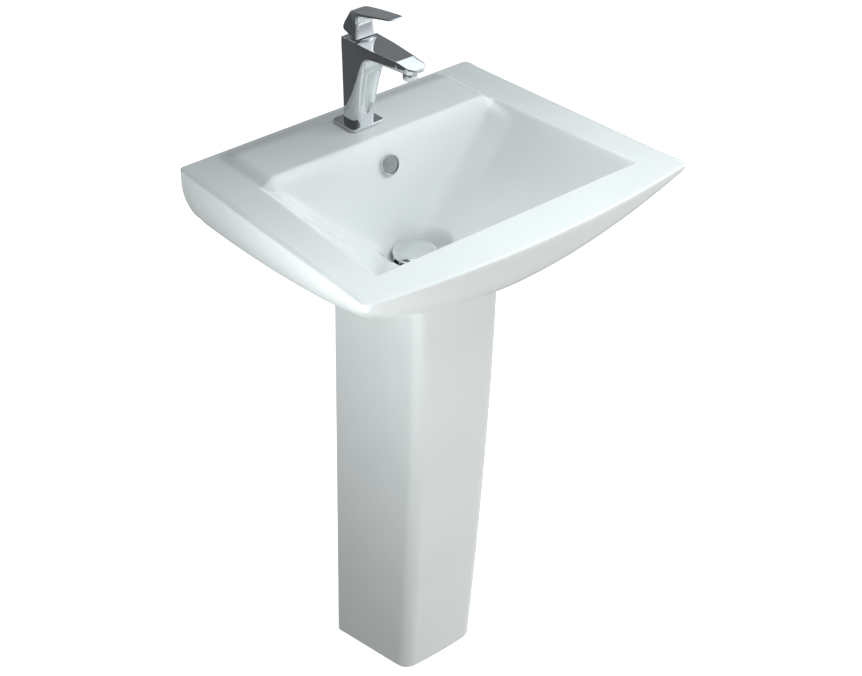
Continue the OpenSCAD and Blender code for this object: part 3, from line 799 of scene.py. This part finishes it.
def column():
    """The hollow column, open to the wall, with a lug at each side of its foot."""
    levels = np.concatenate([np.linspace(0.955, 0.06, 44), [0.03, 0.012, 0.0035]])
    outer = column_skin(0, 20, BEAD, levels, FOOT_ROUND)
    inner = column_skin(COLUMN_WALL, 10, BEAD, levels, -FOOT_ROUND)
    obj = double_skin("column", outer, inner)
    for side in (-1, 1):
        lug = block("lug", side * 60 - 18, side * 60 + 18, 114, 146, 0, 14)
        combine(obj, lug, "UNION")
    for side in (-1, 1):
        combine(obj, pillar("lug_hole", side * 56, 130, -1, 19, 4), "DIFFERENCE")
    show(obj, "sink", ["pedestal"], FINISHES["china"])


def column_joint():
    """The bead of sealant between the column and the basin."""
    rows = []
    for inset, r in ((1.2, 19), (10.8, 10)):
        skin = []
        for gap in (0.3, 1.0, BEAD):
            bulge = 0.5 if gap == 1.0 else 0.0
            o = outline(1, inset + (bulge if inset < 6 else -bulge), r)
            skin.append(np.stack([o[:, 0], o[:, 1], low_z(o[:, 0], o[:, 1]) - gap], -1))
        rows.append(np.array(skin))
    obj = double_skin("column_joint", *rows)
    show(obj, "sink", ["pedestal_seal"], FINISHES["sealant"])


# ---------------------------------------------------------------- waste and overflow


def overflow_trim():
    """The chrome ring and satin disc in the bowl's back wall."""
    ring = rounded([
        [13.2, 2.2], [13.2, 5.5], [15, 5.5], [15, 0.8], [11.9, 0.8], [11.9, -10], [10, -10], [10, 2.2],
        [13.2, 2.2]
    ], 0.8, 6)
    obj = lathe("overflow_trim", ring, OVERFLOW_OUT, OVERFLOW_Z, tilt=OVERFLOW_TILT)
    show(obj, "sink", ["overflow_ring"], FINISHES["chrome"])
    disc = rounded([[0.02, -6], [2.5, -6], [2.5, 3.6], [12.4, 3.6], [12.4, 4.6], [0.02, 5.0]], 0.45, 5)
    obj = lathe("overflow_plate", disc, OVERFLOW_OUT, OVERFLOW_Z, tilt=OVERFLOW_TILT)
    show(obj, "sink", ["overflow_disc"], FINISHES["steel"])


def plug_dome():
    """The domed cap of the waste."""
    low, high = box_mm("plug_cap")
    z = low[2] + 4
    r = radius_of("plug_cap")
    dome = [[r * math.sin(a), z + 3.4 + 5.1 * math.cos(a) ** 0.9] for a in np.linspace(0.001, 1.45, 26)]
    skirt = [[r, z + 3.0], [r, z + 0.7], [r - 0.7, z]]
    profile = np.array([[0.02, low[2]], [6, low[2]], [6, z], *skirt[::-1], *dome[::-1]])
    obj = lathe("plug_dome", profile, DRAIN_OUT, segments=128)
    stem = pillar("stem_hole", 0, DRAIN_OUT, low[2] - 1, low[2] + 6, 2.6)
    combine(obj, stem, "DIFFERENCE")
    show(obj, "plug", ["plug_cap"], FINISHES["chrome"])


def return_spring():
    """The wire coil under the cap."""
    low, high = box_mm("click_spring")
    turns = 5
    steps_per_turn = 40
    wire = 0.5
    radius = radius_of("click_spring") - wire
    round_wire = np.linspace(0, -2 * math.pi, 13)[:-1]
    rings = []
    for t in np.linspace(0, 1, turns * steps_per_turn + 1):
        a = 2 * math.pi * turns * t
        r = radius + wire * np.cos(round_wire)
        z = low[2] + wire + (high[2] - low[2] - 2 * wire) * t + wire * np.sin(round_wire)
        rings.append(place(r * math.cos(a), DRAIN_OUT + r * math.sin(a), z))
    obj = soften(outward(make_mesh("return_spring", *capped(rings))))
    obj.data.materials.append(FINISHES["steel"])
    foot = place(0, DRAIN_OUT, low[2])
    head = place(0, DRAIN_OUT, high[2])
    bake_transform(obj)
    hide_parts("click_spring")


# ---------------------------------------------------------------- tap


def blend_along(keys, values, at):
    """Smooth curve through the values at the keys, without overshoot."""
    keys = np.asarray(keys, float)
    values = np.asarray(values, float)
    step = np.diff(keys)
    slope = np.diff(values, axis=0) / step[:, None]
    tangent = np.zeros_like(values)
    same = slope[:-1] * slope[1:] > 0
    w1 = (2 * step[1:] + step[:-1])[:, None]
    w2 = (step[1:] + 2 * step[:-1])[:, None]
    safe = np.where(same, slope[:-1] * slope[1:], 1)
    mean = (w1 + w2) * safe / np.where(same, w1 * slope[1:] + w2 * slope[:-1], 1)
    tangent[1:-1] = np.where(same, mean, 0)
    tangent[0] = slope[0]
    tangent[-1] = slope[-1]
    k = np.clip(np.searchsorted(keys, at, side="right") - 1, 0, len(keys) - 2)
    h = step[k][:, None]
    u = ((at - keys[k])[:, None]) / h
    return (
        values[k] * (1 + 2 * u) * (1 - u) ** 2
        + tangent[k] * h * u * (1 - u) ** 2
        + values[k + 1] * u * u * (3 - 2 * u)
        + tangent[k + 1] * h * u * u * (u - 1)
    )


def straight_along(keys, values, at):
    """Straight lines through the values at the keys."""
    values = np.asarray(values, float)
    return np.stack([np.interp(at, keys, values[:, i]) for i in range(values.shape[1])], -1)


def section(inner, outer, w_in, w_out, r_in, deep_in, r_out, scoop=None):
    """One ring: a rounded four-sided section from an inner point to an outer one, both [out, z].

    r_in and deep_in are the inner corners' sizes across and along the section; scoop(x) gives how
    far the inner face is hollowed at x.
    """
    inner = np.asarray(inner, float)
    outer = np.asarray(outer, float)
    reach = np.linalg.norm(outer - inner)
    r_out = min(r_out, 0.3 * reach, 0.98 * w_out)
    r_in = min(r_in, 0.98 * w_in)
    deep_in = min(deep_in, 0.98 * (reach - r_out))
    xs, vs = [], []

    def add(x, v):
        xs.extend(np.atleast_1d(x))
        vs.extend(np.atleast_1d(v))

    face = np.linspace(0, 1, 19)[:-1] * (w_in - r_in)
    add(face, np.zeros(len(face)))
    a = np.linspace(0, math.pi / 2, 15)
    add(w_in - r_in + r_in * np.sin(a), deep_in - deep_in * np.cos(a))
    side = np.linspace(0, 1, 11)[1:-1]
    run = reach - deep_in - r_out
    add(w_in + side * (w_out - w_in), deep_in + side * run)
    add(w_out - r_out + r_out * np.cos(a[::2]), reach - r_out + r_out * np.sin(a[::2]))
    top = np.linspace(1, 0, 10)[1:] * (w_out - r_out)
    add(top, np.full(len(top), reach))
    x = np.array(xs)
    v = np.array(vs)
    if scoop is not None:
        v = np.where(v < deep_in + 0.01, np.maximum(v, scoop(x)), v)
    x = np.concatenate([x, -x[-2:0:-1]])
    v = np.concatenate([v, v[-2:0:-1]])
    point = inner[None, :] + (outer - inner)[None, :] * (v / reach)[:, None]
    return place(x, point[:, 0], point[:, 1])


SWIVEL_OUT = 78.0
SCOOP_LOW = 15.0
SCOOP_HIGH = 84.0
SCOOP_HALF = 15.0
SCOOP_DEPTH = 4.6


def scoop_at(height):
    """The hollow in the front of the tap's column at a height above its foot."""
    t = (height - SCOOP_LOW) / (SCOOP_HIGH - SCOOP_LOW)
    if not 0 < t < 1:
        return None
    half = SCOOP_HALF * (0.66 + 0.34 * t) * min(t * 5, 1) ** 0.5
    deep = SCOOP_DEPTH * min(t * 2.5, 1) ** 0.5 * float(ramp((1 - t) * 14))
    return lambda x: deep * (1 - (x / half) ** 2)


def column_half(height):
    """Half width of the tap's column at a height above its foot."""
    return float(np.interp(height, [0, 28, 60, 85, 100, 112, 127], [18.5, 18.7, 19.4, 20.2, 20.9, 21.6, 22]))


def spout_half(out):
    """Half width of the spout at a distance out from the wall."""
    t = TIP_OUT - out
    if t < 14:
        return 15.4 * max(1 - (1 - t / 14) ** 2.3, 0) ** 0.5 + 0.02
    return float(np.interp(out, [90, 122, TIP_OUT - 27, TIP_OUT - 14], [22, 20.8, 15.6, 15.4]))


def tap_half(point):
    """Half width of the tap's body at an [out, z] point."""
    return min(column_half(point[1] - BODY_Z), spout_half(point[0]))


def tap_shape():
    """Stations from the foot, up the column and along the spout to its tip."""
    top = TAP_TOP - BODY_Z
    tip = TIP_OUT
    inner = [
        [83.5, 0], [84.8, 14], [86.5, 28], [89.2, 44], [92.5, 60], [95.9, 73], [99.3, 84], [102.6, 93],
        [105.6, 99.5], [109.5, 105.5], [115, top - 16.8], [124, top - 15], [148, top - 14.7],
        [tip - 30, top - 14.6], [tip - 18, top - 14.5], [tip - 10, top - 13.4], [tip - 5, top - 11.4],
        [tip - 1.6, top - 8.4], [tip - 0.3, top - 6]
    ]
    outer = [
        [56.5, 0], [56.8, 14], [57, 28], [57.3, 44], [57.6, 60], [58, 75], [58.4, 88], [59, 102],
        [59.4, 114], [60, top], [84, top], [106, top], [146, top], [tip - 32.5, top - 0.05],
        [tip - 20, top - 1.3], [tip - 11, top - 2.2], [tip - 6, top - 2.8], [tip - 2.0, top - 3.7],
        [tip - 0.4, top - 5.2]
    ]
    keys = np.arange(len(inner), dtype=float)
    at = np.concatenate([np.linspace(0, 9, 100)[:-1], np.linspace(9, 13, 40)[:-1], np.linspace(13, 18, 46)])
    front = blend_along(keys, inner, at)
    back = straight_along(keys, outer, at)
    r_in = np.interp(at, keys, [8, 7.5, 6.5, 5.5, 4.6, 4, 3.8, 4, 4.4, 4.2, 3.6, 3.6, 4, 5, 6, 6, 5, 3, 1])
    deep = np.interp(
        at, keys, [24, 24, 22, 19, 15.5, 12, 9.5, 7, 6, 4.6, 3.6, 3.6, 4, 6, 9, 9, 7, 3, 1]
    )
    rings = []
    for n in range(len(at)):
        a = front[n] + [0, BODY_Z]
        b = back[n] + [0, BODY_Z]
        hollow = scoop_at(a[1] - BODY_Z)
        rings.append(section(a, b, tap_half(a), tap_half(b), r_in[n], deep[n], 1.3, hollow))
    return rings


def tap_column():
    """The tap's body: a column and the spout that grows out of it."""
    obj = outward(make_mesh("tap_column", *capped(tap_shape())))
    seat = pillar("cartridge_seat", 0, SWIVEL_OUT, TAP_TOP - 37, TAP_TOP + 9, 13)
    combine(obj, seat, "DIFFERENCE")
    combine(obj, pillar("aerator_seat", 0, AERATOR_OUT, TAP_TOP - 20, TAP_TOP - 6, 10.4), "DIFFERENCE")
    show(obj, "sink", ["tap_body"], FINISHES["chrome"], 30)


def aerator_ring():
    """The aerator's housing, with a grip cut round its foot."""
    profile = rounded([
        [8, -25], [8, -6.2], [9.5, -6.2], [9.5, -15], [9.9, -15.4], [9.9, -24.4], [9.3, -25], [8, -25]
    ], 0.25, 3)
    obj = lathe("aerator_ring", profile, AERATOR_OUT, TAP_TOP, 180, lobes=30, lobe_depth=0.45, lobe_from=9.6)
    show(obj, "sink", ["aerator_housing"], FINISHES["chrome"])


def plate_outline(inset):
    """Outline of the tap's base plate, with cut and softened corners."""
    half = (PLATE_HIGH[0] - PLATE_LOW[0]) / 2 - inset
    near = WALL - PLATE_LOW[1] - inset
    far = WALL - PLATE_HIGH[1] + inset
    c = 4.0
    corners = [
        [-half + c, near], [half - c, near], [half, near - c], [half, far + c],
        [half - c, far], [-half + c, far], [-half, far + c], [-half, near - c]
    ]
    made = []
    for n, corner in enumerate(corners):
        three = [corners[n - 1], corner, corners[(n + 1) % len(corners)]]
        made.extend(rounded(three, 2.0, 4)[1:-1])
    return np.array(made)


def tap_base():
    """The square plate under the tap, with its top edge rolled over."""
    low, high = PLATE_LOW[2], PLATE_HIGH[2]
    roll = 1.1
    steps = [[0.3, low], [0, low + 0.3], [0, high - roll]]
    for a in np.linspace(0, math.pi / 2, 7)[1:]:
        steps.append([roll * (1 - math.cos(a)), high - roll + roll * math.sin(a)])
    rings = []
    for inset, z in steps:
        o = plate_outline(inset)
        rings.append(place(o[:, 0], o[:, 1], z))
    obj = outward(make_mesh("tap_base", *capped(rings)))
    for side in (-1, 1):
        combine(obj, pillar("tail_hole", side * 9, TAP_HOLE_OUT, low - 1, high + 1, 5.1), "DIFFERENCE")
    combine(obj, pillar("stud_hole", 0, 77, low - 1, high + 1, 4.1), "DIFFERENCE")
    show(obj, "sink", ["tap_plate"], FINISHES["chrome"], 30)


BLADE_OUTS = [62, 66, 70, 76, 82, 92, 106, 142]
BLADE_HALVES = [11.6, 12, 12.8, 13.9, 14.7, 15, 14.7, 12, 11.2]
BASE_HEIGHTS = [0, 3, 7, 13, 19, 26, 40]
BASE_HALVES = [18.6, 18, 16.7, 15.4, 14.7, 14.3, 14.3]
BLEND_LOW = 20
BLEND_HIGH = 37
BLADE_FROM = 92
GRUB_HEIGHT = 19.0


def lever_half(out, z):
    """Half width of the lever at a distance out from the wall and a height above the tap's body."""
    t = LEVER_TIP - out
    if t < 5:
        return BLADE_HALVES[-1] * max(1 - (1 - t / 5) ** 2.4, 0) ** 0.5 + 0.02
    blade = float(np.interp(out, BLADE_OUTS + [LEVER_TIP - 5], BLADE_HALVES))
    base = float(np.interp(z, BASE_HEIGHTS, BASE_HALVES))
    share = 1.0 if out > BLADE_FROM else float(ramp((z - BLEND_LOW) / (BLEND_HIGH - BLEND_LOW)))
    return base + share * (blade - base)


def lever_blade():
    """The lever: a block over the cartridge that runs out into a thin blade."""
    tip = LEVER_TIP
    inner = [
        [87.6, 2.8], [86.4, 5.6], [85.1, 10], [84.2, 16], [83.9, 23], [84.2, 29], [85.6, 33], [89, 35.9],
        [98, 38.5], [108, 40.4], [122, 43.2], [136, 45.9], [145, 47.5], [150, 48.8], [tip - 0.15, 50.1]
    ]
    outer = [
        [57.6, 9.4], [56.3, 12.6], [57.3, 17.5], [59.4, 22], [62, 27.6], [64.8, 32.9], [68, 36.6],
        [74, 38.6], [82, 39.6], [96, 41.9], [118, 45.9], [134, 48.7], [145, 50.5], [150.4, 51.2],
        [tip - 0.15, 50.8]
    ]
    keys = np.arange(len(inner), dtype=float)
    at = np.concatenate([np.linspace(0, 3, 20)[:-1], np.linspace(3, 9, 60)[:-1], np.linspace(9, 14, 36)])
    front = blend_along(keys, inner, at)
    back = blend_along(keys, outer, at)
    foot = [np.array([86.0, 2.45]), np.array([59.4, 8.6])]
    rings = []
    for a, b in zip([foot[0], *front], [foot[1], *back]):
        w_in = lever_half(a[0], a[1])
        w_out = lever_half(b[0], b[1])
        bulge = 1.4 if a[1] < 34 else 1.9
        crown = float(np.interp(b[1], [12, 24, 36, 42], [1.6, 3.4, 3.4, 1.6]))
        ring = section(a + [0, TAP_TOP], b + [0, TAP_TOP], w_in, w_out, 5.0, bulge, crown)
        rings.append(ring)
    obj = outward(make_mesh("lever_blade", *capped(rings)))
    near, far = SWIVEL_OUT - 3.55, SWIVEL_OUT + 3.55
    socket = block("stem_socket", -3.55, 3.55, near, far, TAP_TOP - 6, TAP_TOP + 28)
    combine(obj, socket, "DIFFERENCE")
    grub = TAP_TOP + GRUB_HEIGHT
    combine(obj, leaning_pillar("grub_hole", 0, 54, grub, 2.05, 0, 24, 0), "DIFFERENCE")
    combine(obj, leaning_pillar("cap_hole", 0, 54, grub, 3.5, 0, 7, 0), "DIFFERENCE")
    show(obj, "mixer_lever", ["lever"], FINISHES["chrome"], 30)


# ---------------------------------------------------------------- carried-over CAD nodes


def dress_nodes():
    """Gives each CAD node that still shows the finish of its slot and softly broken edges."""
    slots = {part["node"]: part["material_slot"] for part in frame["record"]["subparts"]}
    for name, obj in frame["nodes"].items():
        if obj.hide_render:
            continue
        finish = FINISHES[slots[name]]
        if not obj.material_slots:
            obj.data.materials.append(finish)
        for slot in obj.material_slots:
            slot.material = finish
        bevel = obj.modifiers.new("broken_edges", "BEVEL")
        bevel.width = 0.35 * MM
        bevel.segments = 2
        bevel.limit_method = "ANGLE"
        bevel.angle_limit = math.radians(40)


# ---------------------------------------------------------------- studio

STUDIO_MIDDLE = Vector((0, 0, 0.8))
RIM_FRONT = Vector((0, -0.2, 0.84))
CAMERA_PLACE = (-1.4889, -1.7614, 2.1148)
CAMERA_DOWN = 33.683
CAMERA_TURN = -40.136
CAMERA_LENS = 82.92


def towards(azimuth, elevation):
    """Unit direction at an azimuth from +X and an elevation, in degrees."""
    a = math.radians(azimuth)
    e = math.radians(elevation)
    return Vector((math.cos(e) * math.cos(a), math.cos(e) * math.sin(a), math.sin(e)))


def studio_floor():
    """A plain pale floor that fades into the white behind it and throws no light of its own."""
    half = 9.0
    points = [(-half, -half, 0), (half, -half, 0), (half, half, 0), (-half, half, 0)]
    obj = make_mesh("floor", points, [[0, 1, 2, 3]])
    obj.location.z = -0.0002
    f = Finish("pale_floor")
    f.colour(f.mix(f.spread(f.noise(3), 0, 1), (0.90, 0.90, 0.90), (0.92, 0.92, 0.92)))
    f.roughness(f.spread(f.noise(8), 0.8, 0.9))
    f.set(Emission_Color=(1, 1, 1, 1), Emission_Strength=0.8)
    obj.data.materials.append(f.material)
    obj.visible_diffuse = False
    obj.visible_glossy = False
    obj.visible_transmission = False
    obj.visible_shadow = False


def softbox(name, place_from, size, power, colour, mirrored=False, spread=180, aim=STUDIO_MIDDLE):
    """A panel of light facing a point from an azimuth and elevation, in degrees, and a distance.

    mirrored says whether glazed and polished surfaces show it; spread is its beam, in degrees.
    """
    azimuth, elevation, distance = place_from
    light = bpy.data.lights.new(name, "AREA")
    light.shape = "RECTANGLE"
    light.size, light.size_y = size
    light.energy = power
    light.color = colour
    light.spread = math.radians(spread)
    obj = bpy.data.objects.new(name, light)
    direction = towards(azimuth, elevation)
    obj.location = aim + distance * direction
    obj.rotation_euler = (-direction).to_track_quat("-Z", "Y").to_euler()
    obj.visible_camera = False
    obj.visible_glossy = mirrored
    bpy.context.scene.collection.objects.link(obj)


def studio_lights():
    """The panels that light the part."""
    cool = (0.93, 1.0, 1.0)
    plain = (0.99, 1.0, 0.94)
    warm = (1.0, 0.93, 0.77)
    blue = (0.86, 0.96, 1.0)
    softbox("key", (-162, -3, 0.8), (0.35, 0.35), 4.2, cool)
    softbox("front", (-78, 50, 0.85), (0.4, 0.4), 0.45, cool, spread=100)
    softbox("rim_strip", (-98, 76, 0.62), (0.9, 0.25), 0.74, cool, spread=78, aim=RIM_FRONT)
    softbox("low_left", (-126, -34, 1.5), (0.8, 0.8), 4.0, plain)
    softbox("side_right", (-20, 50, 0.95), (0.5, 0.5), 1.9, cool)
    softbox("low_right", (-40, -14, 1.5), (0.8, 0.8), 5.4, warm)
    softbox("back_panel", (42, 52, 2.4), (1.8, 1.3), 8.0, blue, mirrored=True)


# Azimuth, elevation and strength of the bright parts of the room, and the dim level under them.
ROOM_LOBES = ((-22, 18, 1.6), (0, -55, 0.7), (-110, 10, 0.25), (60, -18, 0.2))
ROOM_LEVEL = 0.07
LOBE_TIGHTNESS = 5.0


def world_lobe(nodes, links, vector, azimuth, elevation, strength):
    """Brightness that falls off smoothly round one direction."""
    dot = nodes.new("ShaderNodeVectorMath")
    dot.operation = "DOT_PRODUCT"
    dot.inputs[1].default_value = towards(azimuth, elevation)
    links.new(vector, dot.inputs[0])
    fall = nodes.new("ShaderNodeMath")
    fall.operation = "MULTIPLY_ADD"
    fall.inputs[1].default_value = LOBE_TIGHTNESS
    fall.inputs[2].default_value = -LOBE_TIGHTNESS
    links.new(dot.outputs["Value"], fall.inputs[0])
    power = nodes.new("ShaderNodeMath")
    power.operation = "EXPONENT"
    links.new(fall.outputs[0], power.inputs[0])
    scaled = nodes.new("ShaderNodeMath")
    scaled.operation = "MULTIPLY"
    scaled.inputs[1].default_value = strength
    links.new(power.outputs[0], scaled.inputs[0])
    return scaled.outputs[0]


def studio_world():
    """White to the camera; to everything else a dim room that is brighter at the front right."""
    world = bpy.data.worlds.new("studio")
    world.use_nodes = True
    nodes = world.node_tree.nodes
    links = world.node_tree.links
    vector = nodes.new("ShaderNodeTexCoord").outputs["Generated"]
    total = None
    for azimuth, elevation, strength in ROOM_LOBES:
        lobe = world_lobe(nodes, links, vector, azimuth, elevation, strength)
        joined = nodes.new("ShaderNodeMath")
        joined.operation = "ADD"
        joined.inputs[1].default_value = ROOM_LEVEL
        links.new(lobe, joined.inputs[0])
        if total:
            links.new(total, joined.inputs[1])
        total = joined.outputs[0]
    room = nodes["Background"]
    room.inputs["Color"].default_value = (0.91, 0.96, 1.0, 1)
    links.new(total, room.inputs["Strength"])
    white = nodes.new("ShaderNodeBackground")
    white.inputs["Color"].default_value = (1, 1, 1, 1)
    path = nodes.new("ShaderNodeLightPath")
    chosen = nodes.new("ShaderNodeMixShader")
    links.new(path.outputs["Is Camera Ray"], chosen.inputs["Fac"])
    links.new(room.outputs["Background"], chosen.inputs[1])
    links.new(white.outputs["Background"], chosen.inputs[2])
    links.new(chosen.outputs["Shader"], nodes["World Output"].inputs["Surface"])
    bpy.context.scene.world = world


def studio_camera():
    """The camera, as fitted to the photograph's straight edges."""
    data = bpy.data.cameras.new("camera")
    data.lens = CAMERA_LENS
    data.sensor_width = 36.0
    obj = bpy.data.objects.new("camera", data)
    obj.location = CAMERA_PLACE
    obj.rotation_euler = (math.radians(90 - CAMERA_DOWN), 0, math.radians(CAMERA_TURN))
    bpy.context.scene.collection.objects.link(obj)
    bpy.context.scene.camera = obj


basin()
column()
column_joint()
overflow_trim()
plug_dome()
return_spring()
tap_base()
tap_column()
aerator_ring()
lever_blade()
dress_nodes()
studio_floor()
studio_lights()
studio_world()
studio_camera()
bpy.context.scene.view_settings.view_transform = "Standard"
